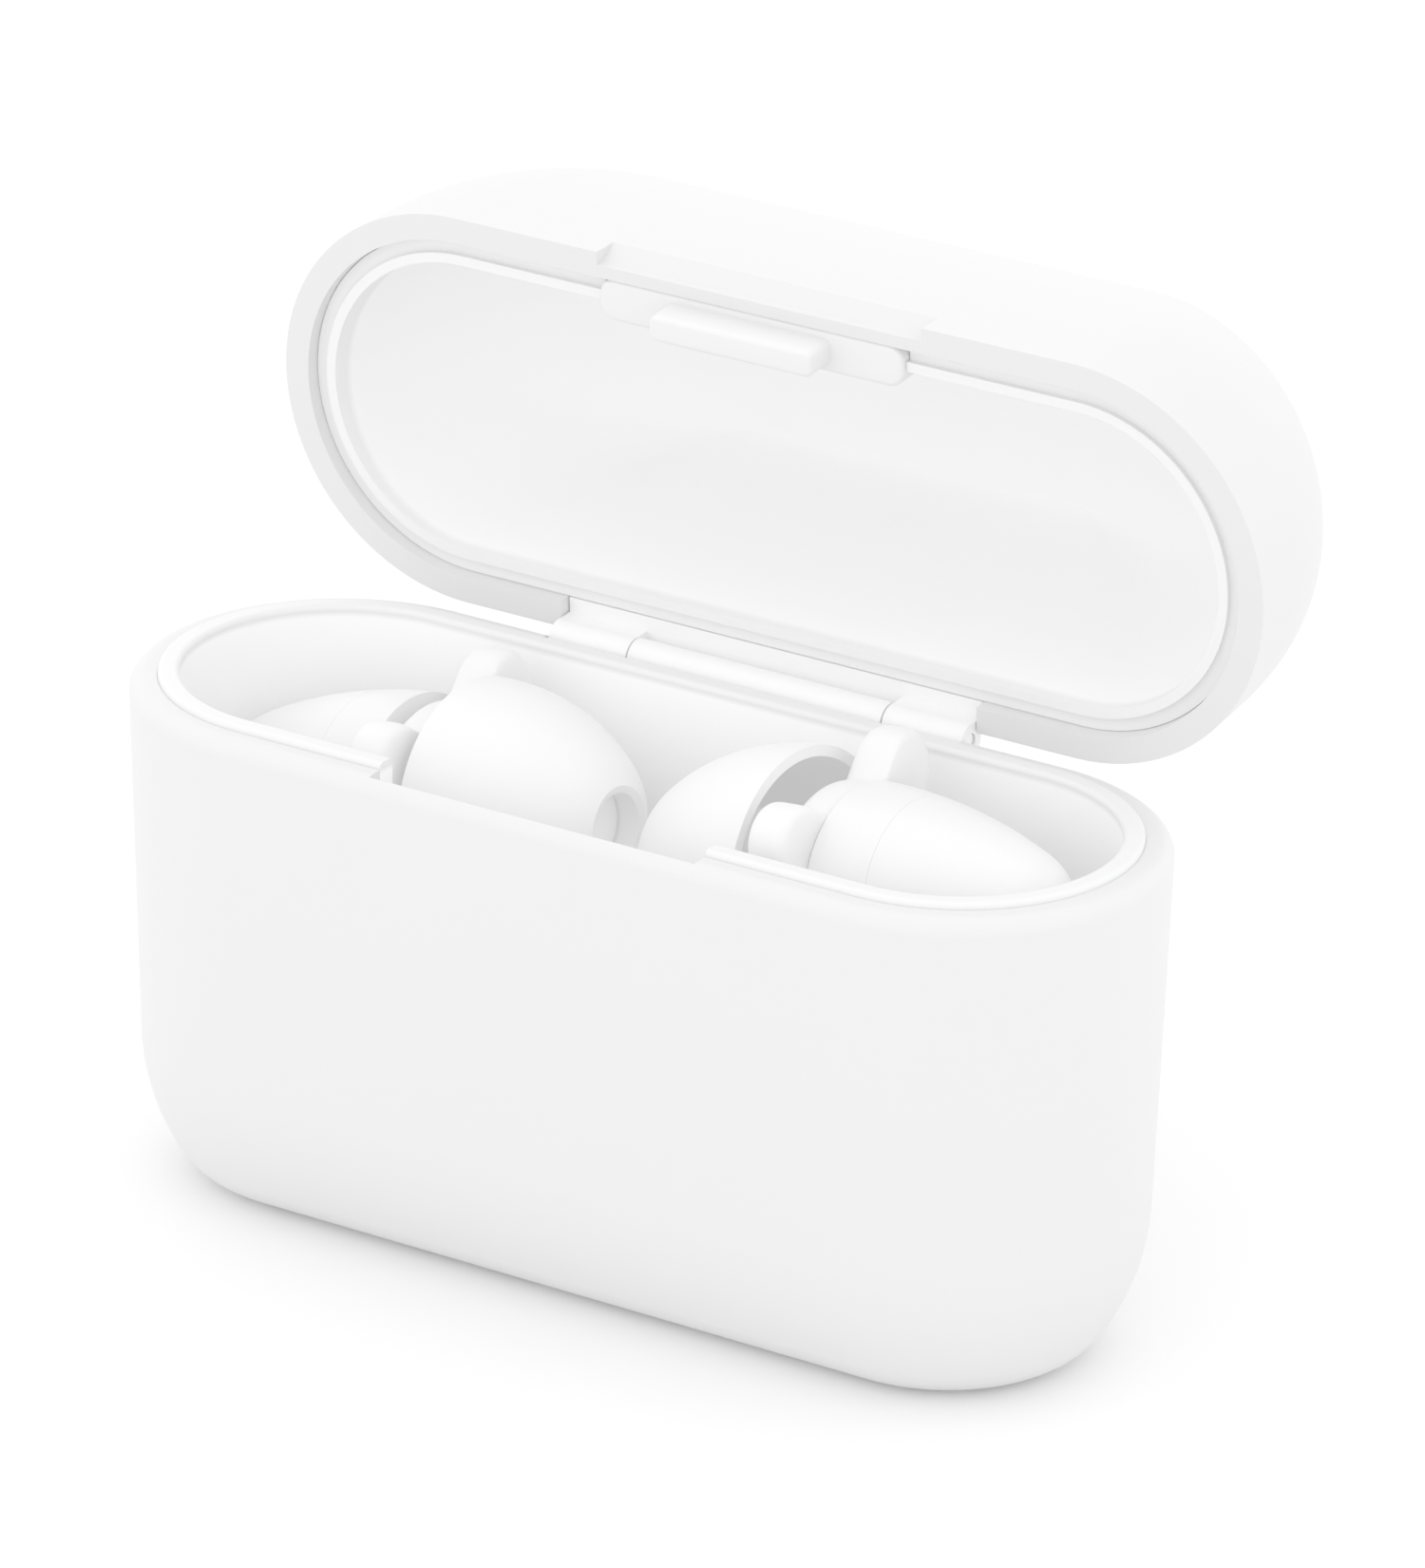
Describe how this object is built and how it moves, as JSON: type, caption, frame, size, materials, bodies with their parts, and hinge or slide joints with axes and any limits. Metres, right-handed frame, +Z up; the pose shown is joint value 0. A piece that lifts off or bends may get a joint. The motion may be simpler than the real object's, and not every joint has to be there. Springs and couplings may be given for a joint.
{
  "type": "wireless earbuds case",
  "caption": "Pocket charging case with a hinged flip-top lid, rounded ends and a flat foot, holding two in-ear earbuds nose to nose in a well.",
  "frame": {"origin": "middle of the flat underside", "axes": "+Z up, X along the case, -Y towards the front where the latch is, +Y towards the hinge"},
  "size_m": [0.0606, 0.0412, 0.0513],
  "materials": {
    "case_white": "semi-gloss",
    "hinge_white": "matte",
    "cradle_white": "matte",
    "bud_white": "gloss",
    "silicone_white": "soft matte",
    "mesh_grey": "fine mesh",
    "speaker_grey": "matte",
    "steel": "satin",
    "magnet_nickel": "nickel plated",
    "contact_gold": "gold plated",
    "tape": "matte",
    "cell_foil": "satin foil",
    "lead_rubber": "matte",
    "board_green": "satin",
    "chip_black": "matte",
    "light_white": "gloss",
    "light_clear": "clear",
    "flex_amber": "satin"
  },
  "bodies": {
    "case_base": {"base_shell": "case_white", "charging_tray": "case_white", "hinge_base": "hinge_white", "hinge_pin": "steel", "battery_tape": "tape", "battery_cell": "cell_foil", "battery_leads": "lead_rubber", "main_board": "board_green", "main_board_chips": "chip_black", "board_screws": "steel", "usb_c_shell": "steel", "usb_c_tongue": "chip_black", "pairing_switch": "chip_black", "pin_board": "board_green", "pin_board_screws": "steel", "status_led": "light_white", "light_pipe": "light_clear", "hall_sensor": "chip_black", "board_flex": "flex_amber", "tray_magnets": "magnet_nickel", "pin_barrels": "contact_gold", "left_pin_springs": "steel", "right_pin_springs": "steel", "left_cradle": "cradle_white", "right_cradle": "cradle_white"},
    "lid": {"lid_shell": "case_white", "lid_liner": "case_white", "lid_latch": "case_white", "lid_magnet": "magnet_nickel", "hinge_lid": "hinge_white"},
    "left_earbud": {"left_ear_tip": "silicone_white", "left_nozzle": "bud_white", "left_nozzle_mesh": "mesh_grey", "left_collar": "silicone_white", "left_front_housing": "bud_white", "left_rear_housing": "bud_white", "left_charge_contacts": "contact_gold", "left_speaker": "speaker_grey", "left_coin_cell": "steel", "left_bud_board": "board_green", "left_bud_magnet": "magnet_nickel", "left_microphone": "chip_black"},
    "right_earbud": {"right_ear_tip": "silicone_white", "right_nozzle": "bud_white", "right_nozzle_mesh": "mesh_grey", "right_collar": "silicone_white", "right_front_housing": "bud_white", "right_rear_housing": "bud_white", "right_charge_contacts": "contact_gold", "right_speaker": "speaker_grey", "right_coin_cell": "steel", "right_bud_board": "board_green", "right_bud_magnet": "magnet_nickel", "right_microphone": "chip_black"},
    "button": {"pairing_button": "case_white"},
    "left_pins": {"left_charging_pins": "contact_gold"},
    "right_pins": {"right_charging_pins": "contact_gold"}
  },
  "joints": [
    {"name": "lid_hinge", "type": "hinge", "parent": "case_base", "child": "lid", "pos_m": [0, 0.01168, 0.02815], "axis": [1, 0, 0], "range_deg": [-14, 85.77]},
    {"name": "left_earbud_lift", "type": "slide", "parent": "case_base", "child": "left_earbud", "axis": [0, 0, 1], "range_m": [0, 0.006]},
    {"name": "right_earbud_lift", "type": "slide", "parent": "case_base", "child": "right_earbud", "axis": [0, 0, 1], "range_m": [0, 0.006]},
    {"name": "pairing_button_press", "type": "slide", "parent": "case_base", "child": "button", "axis": [0, -1, 0], "range_m": [0, 0.00025], "stiffness_N_per_m": 1500},
    {"name": "left_pins_press", "type": "slide", "parent": "case_base", "child": "left_pins", "axis": [0, 0, -1], "range_m": [0, 0.0005], "stiffness_N_per_m": 300, "deforming": ["left_pin_springs"]},
    {"name": "right_pins_press", "type": "slide", "parent": "case_base", "child": "right_pins", "axis": [0, 0, -1], "range_m": [0, 0.0005], "stiffness_N_per_m": 300, "deforming": ["right_pin_springs"]}
  ]
}
